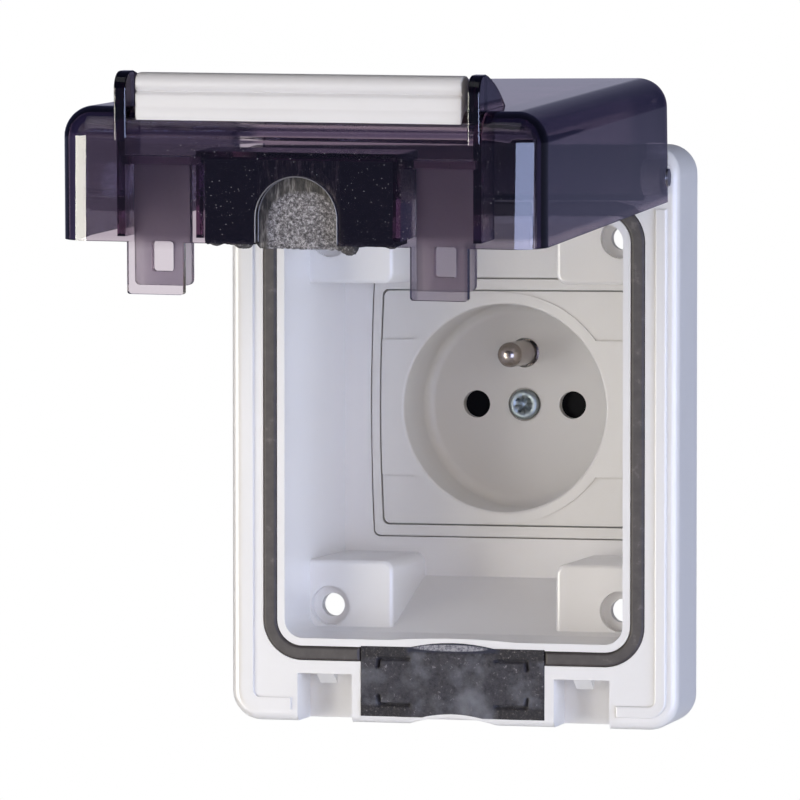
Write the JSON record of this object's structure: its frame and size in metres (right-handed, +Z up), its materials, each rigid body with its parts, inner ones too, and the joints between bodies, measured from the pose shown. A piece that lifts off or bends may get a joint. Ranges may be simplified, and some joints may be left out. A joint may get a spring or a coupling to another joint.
{
  "type": "outdoor weatherproof socket",
  "caption": "Weatherproof wall socket: recessed earth-pin outlet in a flanged box, with a deep smoked lid that hinges up, latch tabs, a grip bar and foam cable entries.",
  "frame": {"origin": "middle of the flange's lower back edge, on the mounting surface", "axes": "+X to the right seen from the front, +Y into the wall, +Z up; the front faces -Y"},
  "size_m": [0.0844, 0.1829, 0.1183],
  "materials": {
    "base_grey": "satin",
    "insert_grey": "satin",
    "bar_grey": "satin",
    "lid_smoke": "gloss",
    "lid_foam": "matte",
    "base_foam": "matte",
    "seal_rubber": "matte",
    "pin_steel": "satin",
    "nickel": "polished",
    "screw_zinc": "satin",
    "housing_plastic": "satin",
    "shutter_dark": "satin",
    "contact_brass": "satin",
    "spring_steel": "satin"
  },
  "bodies": {
    "enclosure": {"base": "base_grey", "lid_seal": "seal_rubber", "panel_seal": "seal_rubber", "base_foam": "base_foam", "hinge_pin_left": "pin_steel", "hinge_pin_right": "pin_steel", "adapter_frame": "insert_grey", "socket_front": "insert_grey", "mechanism_housing": "housing_plastic", "shutter_spring": "spring_steel", "live_contact": "contact_brass", "neutral_contact": "contact_brass", "live_clamp": "screw_zinc", "neutral_clamp": "screw_zinc", "live_terminal_screw": "screw_zinc", "neutral_terminal_screw": "screw_zinc", "earth_pin": "nickel", "earth_strap": "contact_brass", "earth_clamp": "screw_zinc", "earth_terminal_screw": "screw_zinc", "centre_screw": "screw_zinc"},
    "lid": {"lid": "lid_smoke", "grip_bar": "bar_grey", "lid_foam": "lid_foam"},
    "shutter": {"shutter": "shutter_dark"}
  },
  "joints": [
    {"name": "lid_hinge", "type": "hinge", "parent": "enclosure", "child": "lid", "pos_m": [0, -0.0219, 0.10045], "axis": [1, 0, 0], "range_deg": [-13, 86.24]},
    {"name": "shutter_slide", "type": "slide", "parent": "enclosure", "child": "shutter", "axis": [0, 0, -1], "range_m": [0, 0.0064], "stiffness_N_per_m": 100, "springref_m": -0.003, "deforming": ["shutter_spring"]}
  ]
}
